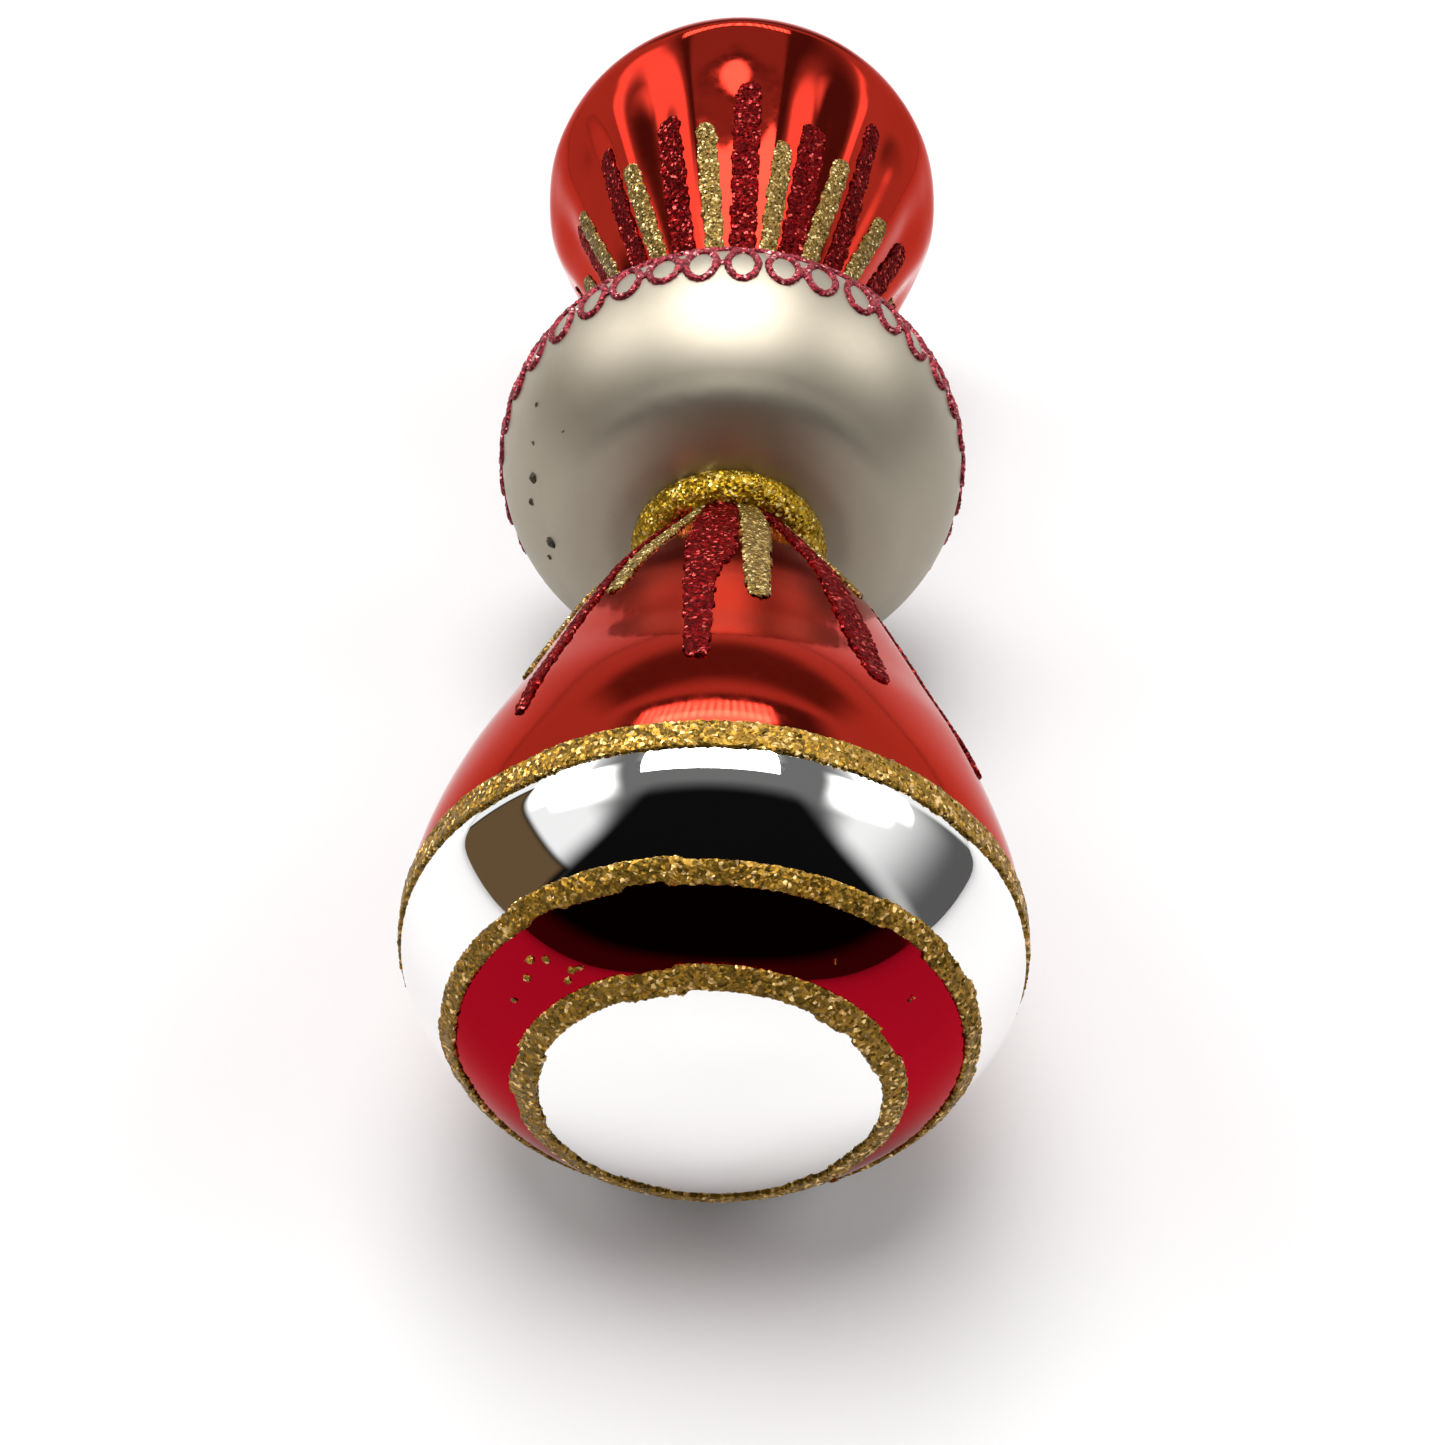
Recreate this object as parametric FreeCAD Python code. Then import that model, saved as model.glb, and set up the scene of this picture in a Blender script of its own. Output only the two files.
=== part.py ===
import FreeCAD, Part
import math
import os

# Blown-glass double-bell ornament, lying on its side. Millimetres, axis along +Y, floor at Z = 0.
# Places along the axis are measured from the lower bell's shoulder, positive towards the cap.

shoulder_r = 25.0  # both shoulders rest on the floor
glitter = 0.4  # height of a glitter line above the glass
wall = 0.8  # glass thickness
lower_r = shoulder_r - glitter  # glass radius under the lower shoulder's glitter ring
neck_r = 7.2  # glass necks either side of the ball
bead_r = 9.9  # outside of a glitter collar
bead_half = 2.0  # half its width along the axis
lower_join = 53.4  # where the lower bell meets the ball
ball_at = 66.7  # the ball's centre
ball_r = 24.3
ball_half = 16.6  # half the ball's length along the axis
upper_join = 2 * ball_at - lower_join
upper_shoulder = 125.4  # the upper bell's widest place
upper_r = 24.97  # its smooth line swells 0.03 mm more beside it
dome_end = -15.3  # pole of the lower bell's closed dome
tip_r = 5.4  # glass neck under the cap
tip_end = 143.7  # its rim
cap_gap = 0.3  # cap to glass, all round
cap_sheet = 0.3
cap_skirt_end = 138.3
hole_x = 1.9  # the cap's two wire holes, either side of the axis
hole_r = 0.75
wire_r = 0.4
eye_r = 4.3  # inside of the wire eye
leg_tip_x = 3.7  # how far the wire's spring legs spread in the neck
leg_depth = 10.5
lower_drips = 10  # of each colour
upper_drips = 13
drip_width = 2.8
drip_gap = 0.25  # clear of the collar's bulge
loop_count = 38  # ovals round the ball
loop_line = 0.75  # width of an oval's line
loop_length = 8.2
loop_width = 3.3

cap_top = tip_end + cap_gap + cap_sheet
eye_at = cap_top + 1.0 + math.sqrt((eye_r + wire_r + 1.5) ** 2 - (hole_x + 1.5) ** 2)
loop_end = eye_at + eye_r + 2 * wire_r
middle = (dome_end + loop_end) / 2

# Glass outlines as (place along the axis, radius), from pole or neck to neck.
lower_outline = [
    (dome_end, 0), (-14.8, 7), (-12.8, 14), (-8.6, 19.8), (-3.5, 23.8), (0, lower_r),
    (5, 24.4), (12.5, 22.9), (20, 20.4), (27.5, 17.9), (35, 15.2), (42.5, 11.6), (49, 8.1),
    (51.4, 7.4), (lower_join, neck_r),
]
upper_outline = [
    (upper_join, neck_r), (upper_join + 2, 7.4), (84.2, 8.1), (90.8, 11.2), (98.3, 14.9),
    (105.8, 18.3), (113.3, 21.4), (120, 24.0), (upper_shoulder, upper_r), (130.4, 22.7),
    (133.7, 17.5), (135.9, 11), (137, 7.6), (138, 6), (139.4, tip_r), (141.5, tip_r), (tip_end, tip_r),
]


def ball_outline():
    """Half an ellipse, flattened where it meets the two necks."""
    start = math.acos(16.5 / ball_r)
    points = [(lower_join, neck_r), (lower_join, 10), (lower_join + 0.2, 13)]
    steps = 10
    for i in range(steps + 1):
        turn = -start + 2 * start * i / steps
        points.append((ball_at + ball_half * math.sin(turn), ball_r * math.cos(turn)))
    points += [(2 * ball_at - a, r) for a, r in reversed(points[:3])]
    return points


def vec(along, radius):
    return FreeCAD.Vector(0, along - middle, shoulder_r + radius)


def inset(points, depth, flat_ends=False):
    """The outline moved towards the axis by depth, square to itself."""
    moved = []
    for i, (a, r) in enumerate(points):
        before = points[max(i - 1, 0)]
        after = points[min(i + 1, len(points) - 1)]
        da, dr = after[0] - before[0], after[1] - before[1]
        size = math.hypot(da, dr)
        moved.append((a + depth * dr / size, max(r - depth * da / size, 0)))
    first, last = points[0], points[-1]
    if flat_ends:
        moved[0], moved[-1] = (first[0] + depth, first[1]), (last[0] - depth, last[1])
    else:
        moved[-1] = (last[0], last[1] - depth)
        moved[0] = (first[0] + depth, 0) if first[1] == 0 else (first[0], first[1] - depth)
    return moved


def curve(points, flat_ends=False):
    """Smooth line through the points, square to the axis at a pole or a flat end."""
    square = FreeCAD.Vector(0, 0, 1)
    flags = [False] * len(points)
    flags[0] = flat_ends or points[0][1] == 0
    flags[-1] = flat_ends
    spline = Part.BSplineCurve()
    spline.interpolate(Points=[vec(a, r) for a, r in points], TangentFlags=flags,
                       Tangents=[square] * (len(points) - 1) + [-square])
    return spline.toShape()


def line(p, q):
    return Part.makeLine(vec(*p), vec(*q))


def filled(points, flat_ends=False):
    """Half section of the space inside an outline, down to the axis."""
    first, last = points[0], points[-1]
    edges = [curve(points, flat_ends), line(last, (last[0], 0)), line((last[0], 0), (first[0], 0))]
    if first[1] > 0:
        edges.append(line((first[0], 0), first))
    return Part.Face(Part.Wire(Part.__sortEdges__(edges)))


def turn_round(section):
    solid = section.revolve(vec(0, 0), FreeCAD.Vector(0, 1, 0), 360)
    return solid.Solids[0] if len(solid.Solids) == 1 else solid


def shell(points, flat_ends=False):
    """Hollow glass section, open at its necks."""
    inside = inset(points, wall, flat_ends)
    edges = [curve(points, flat_ends), curve(inside, flat_ends)]
    for end, end_inside in ((points[0], inside[0]), (points[-1], inside[-1])):
        if flat_ends:
            bore = neck_r - wall
            corners = [end, (end[0], bore), (end_inside[0], bore), end_inside]
        else:
            corners = [end, end_inside]
        edges += [line(p, q) for p, q in zip(corners, corners[1:])]
    return turn_round(Part.Face(Part.Wire(Part.__sortEdges__(edges))))


def bead(start, top, end, glass):
    """Glitter line round the glass: an arc through three places, less the glass under it."""
    arc = Part.Arc(vec(*start), vec(*top), vec(*end)).toShape()
    section = Part.Face(Part.Wire([arc, line(end, start)]))
    for face in glass:
        section = section.cut(face)
    return turn_round(section.Faces[0])


def skin(points, flat_ends=False):
    """Layer as thick as a glitter line over a whole glass section."""
    over = turn_round(filled(inset(points, -glitter, flat_ends), flat_ends))
    return over.cut(turn_round(filled(points, flat_ends)))


def spun(shape, degrees):
    copy = shape.copy()
    copy.rotate(vec(0, 0), FreeCAD.Vector(0, 1, 0), degrees)
    return copy


def drip_block(start, tip, half_start, half_tip):
    """Upright block with a drip's outline, narrow at the collar and round at its tip."""
    lift = FreeCAD.Vector(0, 0, shoulder_r + 3)
    way = 1 if tip > start else -1
    low = shoulder_r
    flat = [
        FreeCAD.Vector(-half_start, start - middle, low),
        FreeCAD.Vector(-half_tip, tip - way * half_tip - middle, low),
        FreeCAD.Vector(0, tip - middle, low),
        FreeCAD.Vector(half_tip, tip - way * half_tip - middle, low),
        FreeCAD.Vector(half_start, start - middle, low),
    ]
    edges = [
        Part.makeLine(flat[0], flat[1]),
        Part.Arc(flat[1], flat[2], flat[3]).toShape(),
        Part.makeLine(flat[3], flat[4]),
        Part.makeLine(flat[4], flat[0]),
    ]
    return Part.Face(Part.Wire(edges)).extrude(lift)


def drips(layer, count, start, tips, first):
    """One colour of drips round a bell; the tips repeat in turn."""
    made = []
    for i in range(count):
        block = drip_block(start, tips[i % len(tips)], drip_width * 0.17, drip_width / 2)
        angle = first + 360 * i / count
        made.append(layer.common(spun(block, angle)).Solids[0])
    return Part.makeCompound(made)


def loop_band(layer):
    """Chain of ovals just past the ball's equator."""
    centre = FreeCAD.Vector(0, ball_at + 1.4 - middle, shoulder_r)
    blocks = []
    for grow in (0, -loop_line):
        far = centre + FreeCAD.Vector(0, loop_length / 2 + grow, 0)
        side = centre + FreeCAD.Vector(loop_width / 2 + grow, 0, 0)
        oval = Part.Ellipse(far, side, centre)
        blocks.append(Part.Face(Part.Wire(oval.toShape())).extrude(FreeCAD.Vector(0, 0, 30)))
    ring = layer.common(blocks[0].cut(blocks[1])).Solids[0]
    return Part.makeCompound([spun(ring, 360 * i / loop_count) for i in range(loop_count)])


def cap():
    """Thin metal cap with a flared, scalloped skirt and two wire holes."""
    inner = tip_r + cap_gap
    outer = inner + cap_sheet
    under = cap_top - cap_sheet
    section = [
        (cap_top, 0), (cap_top, outer - 0.4), (cap_top - 0.4, outer), (cap_skirt_end + 1.6, outer),
        (cap_skirt_end, outer + 0.9), (cap_skirt_end, outer + 0.9 - cap_sheet),
        (cap_skirt_end + 1.6, inner), (under, inner), (under, 0),
    ]
    ring = section + section[:1]
    face = Part.Face(Part.makePolygon([vec(a, r) for a, r in ring]))
    body = turn_round(face)
    scallops = 16
    notch = Part.makeCylinder(0.62, 4, vec(cap_skirt_end - 0.15, outer - 1.5), FreeCAD.Vector(0, 0, 1))
    for i in range(scallops):
        body = body.cut(spun(notch, 360 * i / scallops))
    for side in (-1, 1):
        at = vec(cap_top - 2, 0) + FreeCAD.Vector(side * hole_x, 0, 0)
        body = body.cut(Part.makeCylinder(hole_r, 4, at, FreeCAD.Vector(0, 1, 0)))
    return body


def hanger():
    """Wire eye with two legs that spread as springs inside the glass neck."""
    def at(x, along):
        return FreeCAD.Vector(x, along - middle, shoulder_r)

    eye = eye_r + wire_r
    bend = 1.5
    drop = math.sqrt((eye + bend) ** 2 - (hole_x + bend) ** 2)
    share = eye / (eye + bend)
    meet_x, meet_a = share * (hole_x + bend), eye_at - share * drop
    half = math.atan2(drop, hole_x + bend) / 2
    mid_x, mid_a = hole_x + bend - bend * math.cos(half), eye_at - drop + bend * math.sin(half)
    low = cap_top - leg_depth
    knee = cap_top - 2.5
    edges = []
    for side in (-1, 1):
        s = side
        foot = Part.makeLine(at(s * leg_tip_x, low), at(s * (hole_x + 0.33), knee - 1.3))
        turn = Part.Arc(at(s * (hole_x + 0.33), knee - 1.3), at(s * (hole_x + 0.08), knee - 0.35),
                        at(s * hole_x, knee + 0.6)).toShape()
        rise = Part.makeLine(at(s * hole_x, knee + 0.6), at(s * hole_x, eye_at - drop))
        flare = Part.Arc(at(s * hole_x, eye_at - drop), at(s * mid_x, mid_a),
                         at(s * meet_x, meet_a)).toShape()
        edges += [foot, turn, rise, flare]
    edges.append(Part.Arc(at(-meet_x, meet_a), at(0, eye_at + eye), at(meet_x, meet_a)).toShape())
    path = Part.Wire(Part.__sortEdges__(edges))
    start = path.OrderedVertexes[0].Point
    heading = path.OrderedEdges[0].tangentAt(path.OrderedEdges[0].FirstParameter)
    profile = Part.Wire(Part.makeCircle(wire_r, start, heading))
    return path.makePipeShell([profile], True, False)


def save(name, shape):
    solids = shape.Solids
    print(name, len(solids), "solids", round(sum(s.Volume for s in solids), 1), "mm3", shape.isValid())
    shape.exportStep("parts/" + name + ".step")


os.makedirs("parts", exist_ok=True)
ball_points = ball_outline()
lower_glass = filled(lower_outline)
ball_glass = filled(ball_points, True)
upper_glass = filled(upper_outline)

save("lower_bell_glass", shell(lower_outline))
save("ball_glass", shell(ball_points, True))
save("upper_bell_glass", shell(upper_outline))

save("centre_glitter_ring", bead((-13.3, 12.7), (-13.3, 14.0), (-12.3, 14.7), [lower_glass]))
save("middle_glitter_ring", bead((-9.0, 19.2), (-8.85, 20.2), (-7.9, 20.4), [lower_glass]))
save("shoulder_glitter_ring",
     bead((-1.3, lower_r - 0.1), (0, shoulder_r), (1.3, lower_r - 0.1), [lower_glass]))
lower_bead = (lower_join - 0.5, bead_r)
save("lower_glitter_collar",
     bead((lower_bead[0] - bead_half, 7), lower_bead, (lower_bead[0] + bead_half, 7),
          [lower_glass, ball_glass]))
upper_bead = (upper_join + 0.5, bead_r)
save("upper_glitter_collar",
     bead((upper_bead[0] - bead_half, 7), upper_bead, (upper_bead[0] + bead_half, 7),
          [upper_glass, ball_glass]))

lower_skin = skin(lower_outline)
upper_skin = skin(upper_outline)
lower_start = lower_bead[0] - bead_half - drip_gap
upper_start = upper_bead[0] + bead_half + drip_gap
save("lower_red_drips", drips(lower_skin, lower_drips, lower_start, (9.3, 14.8, 10.4, 12, 7.8), -6))
save("lower_gold_drips", drips(lower_skin, lower_drips, lower_start, (23, 34, 25, 24.3, 27), 10))
save("upper_red_drips", drips(upper_skin, upper_drips, upper_start, (114, 115.5, 113), 1.5))
save("upper_gold_drips", drips(upper_skin, upper_drips, upper_start, (107, 109, 106), 13.5))
save("ball_loop_band", loop_band(skin(ball_points, True)))

save("cap", cap())
save("hanger", hanger())
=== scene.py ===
import bpy
import math
import random
import numpy as np
from mathutils import Matrix, Vector


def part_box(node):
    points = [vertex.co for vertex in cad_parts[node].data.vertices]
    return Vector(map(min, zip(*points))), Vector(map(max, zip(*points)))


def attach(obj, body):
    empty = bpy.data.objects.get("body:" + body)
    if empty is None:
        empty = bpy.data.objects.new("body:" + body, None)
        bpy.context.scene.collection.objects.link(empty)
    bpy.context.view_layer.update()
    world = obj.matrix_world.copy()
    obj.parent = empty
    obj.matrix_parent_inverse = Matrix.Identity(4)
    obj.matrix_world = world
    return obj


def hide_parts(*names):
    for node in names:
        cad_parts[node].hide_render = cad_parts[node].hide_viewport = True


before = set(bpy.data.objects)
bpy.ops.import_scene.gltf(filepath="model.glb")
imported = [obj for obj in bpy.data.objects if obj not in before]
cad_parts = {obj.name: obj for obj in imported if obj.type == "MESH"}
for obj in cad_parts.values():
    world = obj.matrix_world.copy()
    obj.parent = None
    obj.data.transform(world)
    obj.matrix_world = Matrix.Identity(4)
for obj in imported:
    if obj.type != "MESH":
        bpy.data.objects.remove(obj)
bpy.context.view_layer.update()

# Lengths in the dictionaries are millimetres. Places along the ornament are counted from the
# lower bell's shoulder towards the cap, and turns round it are degrees from the top towards +X.
mm = 0.001
lowerLow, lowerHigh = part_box("lower_bell_glass")
upperLow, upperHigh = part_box("upper_bell_glass")
axisHeight = (upperLow.z + upperHigh.z) / 2
domeEnd = -15.3
shoulderAt = lowerLow.y - domeEnd * mm
lowerJoin = (lowerHigh.y - shoulderAt) / mm
upperJoin = (upperLow.y - shoulderAt) / mm
tipEnd = (upperHigh.y - shoulderAt) / mm
ballAt = (lowerJoin + upperJoin) / 2
weldGap = 0.01


def smoothStep(low, high, value):
    t = min(max((value - low) / (high - low), 0), 1)
    return t * t * (3 - 2 * t)


def spot(along, radius, turn):
    a = math.radians(turn)
    return Vector((radius * mm * math.sin(a), shoulderAt + along * mm, axisHeight + radius * mm * math.cos(a)))


def onOutline(outline, steps):
    # evenly spaced places on a smooth line through the outline's points
    def tangent(i):
        if i == 0 and outline[0][1] == 0:
            return (0, outline[1][1] - outline[0][1])
        before, after = outline[max(i - 1, 0)], outline[min(i + 1, len(outline) - 1)]
        span = 0.5 if 0 < i < len(outline) - 1 else 1
        return ((after[0] - before[0]) * span, (after[1] - before[1]) * span)

    perSpan = 24
    fine = []
    for i in range(len(outline) - 1):
        p, q, u, v = outline[i], outline[i + 1], tangent(i), tangent(i + 1)
        for k in range(perSpan):
            t = k / perSpan
            h = (2 * t**3 - 3 * t**2 + 1, t**3 - 2 * t**2 + t, -2 * t**3 + 3 * t**2, t**3 - t**2)
            fine.append([h[0] * p[j] + h[1] * u[j] + h[2] * q[j] + h[3] * v[j] for j in (0, 1)])
    fine.append(list(outline[-1]))
    fine = np.array(fine)
    run = np.concatenate([[0], np.cumsum(np.hypot(*np.diff(fine, axis=0).T))])
    at = np.linspace(0, run[-1], steps + 1)
    return np.interp(at, run, fine[:, 0]), np.interp(at, run, fine[:, 1])


def cutOutline(outline, span):
    # the stretch of an outline between two places, as every eighth point of a fine line
    along, radius = onOutline(outline, 800)
    inside = (along >= span[0]) & (along <= span[1])
    points = list(zip(along[inside], radius[inside]))
    return points[::8] + [points[-1]]


def noShape(along, turn):
    return 0


def deselect():
    if bpy.context.object and bpy.context.object.mode == "EDIT":
        bpy.ops.object.mode_set(mode="OBJECT")
    bpy.ops.object.select_all(action="DESELECT")


def pick(piece):
    piece.select_set(True)
    bpy.context.view_layer.objects.active = piece


def nameMesh(piece, name):
    piece.name = name
    piece.data.name = name
    return piece


def applyAll(piece):
    deselect()
    pick(piece)
    for modifier in list(piece.modifiers):
        bpy.ops.object.modifier_apply(modifier=modifier.name)


def rolled(name, outline, sides, rows, shape, keep=None):
    # a flat grid rolled round the axis onto the outline; keep says which faces stay
    deselect()
    bpy.ops.mesh.primitive_grid_add(x_subdivisions=sides, y_subdivisions=rows, size=2)
    piece = nameMesh(bpy.context.object, name)
    along, radius = onOutline(outline, rows)
    flat = np.empty(len(piece.data.vertices) * 3)
    piece.data.vertices.foreach_get("co", flat)
    flat = flat.reshape(-1, 3)
    column = np.rint((flat[:, 0] + 1) / 2 * sides).astype(int)
    row = np.rint((flat[:, 1] + 1) / 2 * rows).astype(int)
    turn = column * 360 / sides - 180
    bump = np.array([shape(along[r], t) for r, t in zip(row, turn)])
    reach = np.where(radius[row] > 0, radius[row] + bump, 0) * mm
    angle = np.radians(turn)
    placed = np.stack([reach * np.sin(angle), shoulderAt + along[row] * mm, axisHeight + reach * np.cos(angle)], 1)
    piece.data.vertices.foreach_set("co", placed.ravel())
    piece.data.update()
    bpy.ops.object.mode_set(mode="EDIT")
    bpy.ops.mesh.select_all(action="SELECT")
    bpy.ops.mesh.remove_doubles(threshold=weldGap * mm)
    bpy.ops.mesh.normals_make_consistent(inside=False)
    if keep:
        bpy.ops.mesh.select_mode(type="FACE")
        bpy.ops.mesh.select_all(action="DESELECT")
        bpy.ops.object.mode_set(mode="OBJECT")
        centres = np.empty(len(piece.data.polygons) * 3)
        piece.data.polygons.foreach_get("center", centres)
        x, y, z = centres.reshape(-1, 3).T
        z = z - axisHeight
        stays = keep((y - shoulderAt) / mm, np.degrees(np.arctan2(x, z)), np.hypot(x, z) / mm)
        piece.data.polygons.foreach_set("select", ~stays)
        bpy.ops.object.mode_set(mode="EDIT")
        bpy.ops.mesh.delete(type="FACE")
    bpy.ops.object.mode_set(mode="OBJECT")
    return piece


def newFinish(name):
    finish = bpy.data.materials.new(name)
    finish.use_nodes = True
    nodes, links = finish.node_tree.nodes, finish.node_tree.links
    return finish, nodes, links, nodes["Principled BSDF"]


def plainSockets(shader, **values):
    for socket, value in values.items():
        shader.inputs[socket.replace("_", " ")].default_value = value


def texture(nodes, links, kind, scale, **sockets):
    # a texture node on the piece's own coordinates
    where = nodes.new("ShaderNodeTexCoord")
    made = nodes.new(kind)
    made.inputs["Scale"].default_value = scale
    for socket, value in sockets.items():
        made.inputs[socket.replace("_", " ")].default_value = value
    links.new(where.outputs["Object"], made.inputs["Vector"])
    return made


def ramp(nodes, links, source, stops, target):
    # colours by value; a plain number stands for a grey
    made = nodes.new("ShaderNodeValToRGB")
    band = made.color_ramp
    while len(band.elements) < len(stops):
        band.elements.new(1)
    for element, (place, colour) in zip(band.elements, stops):
        element.position = place
        element.color = (*colour, 1) if isinstance(colour, tuple) else (colour, colour, colour, 1)
    links.new(source, made.inputs["Fac"])
    links.new(made.outputs["Color"], target)


glassGrain = {"drift": 45, "swell": 90, "dust": 900}  # how fine each pattern is


def glassFinish(name, look):
    # mirror or lacquer on blown glass: faint colour drift, slow waves in the surface, fine dust
    finish, nodes, links, shader = newFinish(name)
    plainSockets(shader, Metallic=look["metallic"], Specular_Tint=(*look["edge"], 1))
    (pale, deep), (smooth, dull) = look["colours"], look["roughness"]
    drift = texture(nodes, links, "ShaderNodeTexNoise", glassGrain["drift"], Detail=2)
    ramp(nodes, links, drift.outputs["Fac"], [(0.3, pale), (0.7, deep)], shader.inputs["Base Color"])
    dust = texture(nodes, links, "ShaderNodeTexNoise", glassGrain["dust"], Detail=6)
    ramp(nodes, links, dust.outputs["Fac"], [(0.35, smooth), (0.75, dull)], shader.inputs["Roughness"])
    swell = texture(nodes, links, "ShaderNodeTexNoise", glassGrain["swell"], Detail=1)
    bump = nodes.new("ShaderNodeBump")
    bump.inputs["Strength"].default_value = 1
    bump.inputs["Distance"].default_value = look["wave"] * mm
    links.new(swell.outputs["Fac"], bump.inputs["Height"])
    links.new(bump.outputs["Normal"], shader.inputs["Normal"])
    return finish


def glitterFinish(name, look):
    # one colour and one tilt for each flake
    finish, nodes, links, shader = newFinish(name)
    plainSockets(shader, Metallic=look["metallic"], Specular_IOR_Level=0.1, Specular_Tint=(*look["edge"], 1))
    flakes = texture(nodes, links, "ShaderNodeTexVoronoi", 1 / (look["flake"] * mm), Randomness=1)
    parts = nodes.new("ShaderNodeSeparateColor")
    links.new(flakes.outputs["Color"], parts.inputs["Color"])
    ramp(nodes, links, parts.outputs["Red"], look["stops"], shader.inputs["Base Color"])
    smooth, dull = look["roughness"]
    ramp(nodes, links, parts.outputs["Green"], [(0, smooth), (1, dull)], shader.inputs["Roughness"])
    centred = nodes.new("ShaderNodeVectorMath")
    centred.operation = "SUBTRACT"
    centred.inputs[1].default_value = (0.5, 0.5, 0.5)
    links.new(flakes.outputs["Color"], centred.inputs[0])
    scaled = nodes.new("ShaderNodeVectorMath")
    scaled.operation = "SCALE"
    scaled.inputs["Scale"].default_value = look["tilt"]
    links.new(centred.outputs["Vector"], scaled.inputs[0])
    upright = nodes.new("ShaderNodeNewGeometry")
    added = nodes.new("ShaderNodeVectorMath")
    links.new(upright.outputs["Normal"], added.inputs[0])
    links.new(scaled.outputs["Vector"], added.inputs[1])
    even = nodes.new("ShaderNodeVectorMath")
    even.operation = "NORMALIZE"
    links.new(added.outputs["Vector"], even.inputs[0])
    links.new(even.outputs["Vector"], shader.inputs["Normal"])
    return finish


def metalFinish(name, look):
    # bare metal with a mottled tone and finer wear in its gloss
    finish, nodes, links, shader = newFinish(name)
    plainSockets(shader, Metallic=1)
    (dark, light), (bright, worn) = look["colours"], look["roughness"]
    tone = texture(nodes, links, "ShaderNodeTexNoise", look["mottle"], Detail=4)
    ramp(nodes, links, tone.outputs["Fac"], [(0.35, dark), (0.7, light)], shader.inputs["Base Color"])
    wear = texture(nodes, links, "ShaderNodeTexNoise", look["wear"], Detail=look["wearDetail"])
    ramp(nodes, links, wear.outputs["Fac"], [(0.35, bright), (0.7, worn)], shader.inputs["Roughness"])
    return finish


def dress(piece, node, slotName, *finishes, body="glass"):
    piece.data.materials.clear()
    for finish in finishes:
        piece.data.materials.append(finish)
    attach(piece, body)
    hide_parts(node)


def paintZones(piece, zone):
    # zone gives each face its finish by place and radius
    for face in piece.data.polygons:
        c = face.center
        face.material_index = zone((c.y - shoulderAt) / mm, math.hypot(c.x, c.z - axisHeight) / mm)


redLacquerLook = {
    "colours": [(0.33, 0.018, 0.01), (0.4, 0.024, 0.013)], "metallic": 1,
    "roughness": (0.06, 0.12), "wave": 0.03, "edge": (0.95, 0.54, 0.52),
}
silverMirrorLook = {
    "colours": [(0.9, 0.9, 0.9), (0.94, 0.94, 0.93)], "metallic": 1,
    "roughness": (0.015, 0.04), "wave": 0.02, "edge": (1, 1, 1),
}
crimsonMirrorLook = {
    "colours": [(0.29, 0.002, 0.01), (0.35, 0.003, 0.014)], "metallic": 1,
    "roughness": (0.02, 0.05), "wave": 0.02, "edge": (1, 0.54, 0.54),
}
pearlLook = {
    "colours": [(0.34, 0.305, 0.24), (0.375, 0.335, 0.265)], "metallic": 0.9,
    "roughness": (0.44, 0.48), "wave": 0.02, "edge": (1, 1, 1),
}
redLacquer = glassFinish("red_lacquer", redLacquerLook)
silverMirror = glassFinish("silver_mirror", silverMirrorLook)
crimsonMirror = glassFinish("crimson_mirror", crimsonMirrorLook)
pearlGlass = glassFinish("pearl_glass", pearlLook)


def glassShell(name, outline, facts, shape):
    piece = rolled(name, outline, facts["sides"], facts["rows"], shape)
    solid = piece.modifiers.new("wall", "SOLIDIFY")
    solid.thickness = facts["wall"] * mm
    solid.offset = -1
    applyAll(piece)
    bpy.ops.object.shade_smooth()
    return piece


lowerBell = {
    "outline": [(domeEnd, 0), (-14.8, 7), (-12.8, 14), (-8.6, 19.8), (-3.5, 23.8), (0, 24.6), (5, 24.4),
                (12.5, 22.9), (20, 20.4), (27.5, 17.9), (35, 15.2), (42.5, 11.6), (49, 8.1),
                (51.4, 7.4), (lowerJoin, 7.2)],
    "sides": 256, "rows": 150, "wall": 0.8,
    "facets": 4, "facetTurn": -38, "facetDepth": 0.45, "facetsBegin": (4, 20), "facetsEnd": (38, 50),
    "silverDisc": 13.7, "crimsonBand": 19.9,  # radii on the dome where its colours change
}


def lowerShape(along, turn):
    # broad soft facets between creases, fading at the shoulder and the neck
    b = lowerBell
    fade = smoothStep(*b["facetsBegin"], along) * (1 - smoothStep(*b["facetsEnd"], along))
    share = ((turn - b["facetTurn"]) * b["facets"] / 360) % 1
    return -b["facetDepth"] * fade * (1 - (2 * share - 1) ** 4)


def lowerZone(along, radius):
    # 0 silver, 1 crimson, 2 red lacquer
    if along > 0:
        return 2
    return 0 if radius < lowerBell["silverDisc"] or radius > lowerBell["crimsonBand"] else 1


upperBell = {
    "outline": [(upperJoin, 7.2), (upperJoin + 2, 7.4), (84.2, 8.1), (90.8, 11.2), (98.3, 14.9),
                (105.8, 18.3), (113.3, 21.4), (120, 24), (125.4, 24.97), (130.4, 22.7),
                (133.7, 17.5), (135.9, 11), (137, 7.6), (138, 6), (139.4, 5.4), (141.5, 5.4), (tipEnd, 5.4)],
    "sides": 416, "rows": 110, "wall": 0.8,
    "flutes": 13, "fluteTurn": 10, "fluteDepth": 1.25, "crease": 0.55,
    "flutesBegin": (82, 90), "flutesEnd": (112, 127), "shallow": 0.35, "shallowAt": 84, "fullAt": 120,
}


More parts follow.
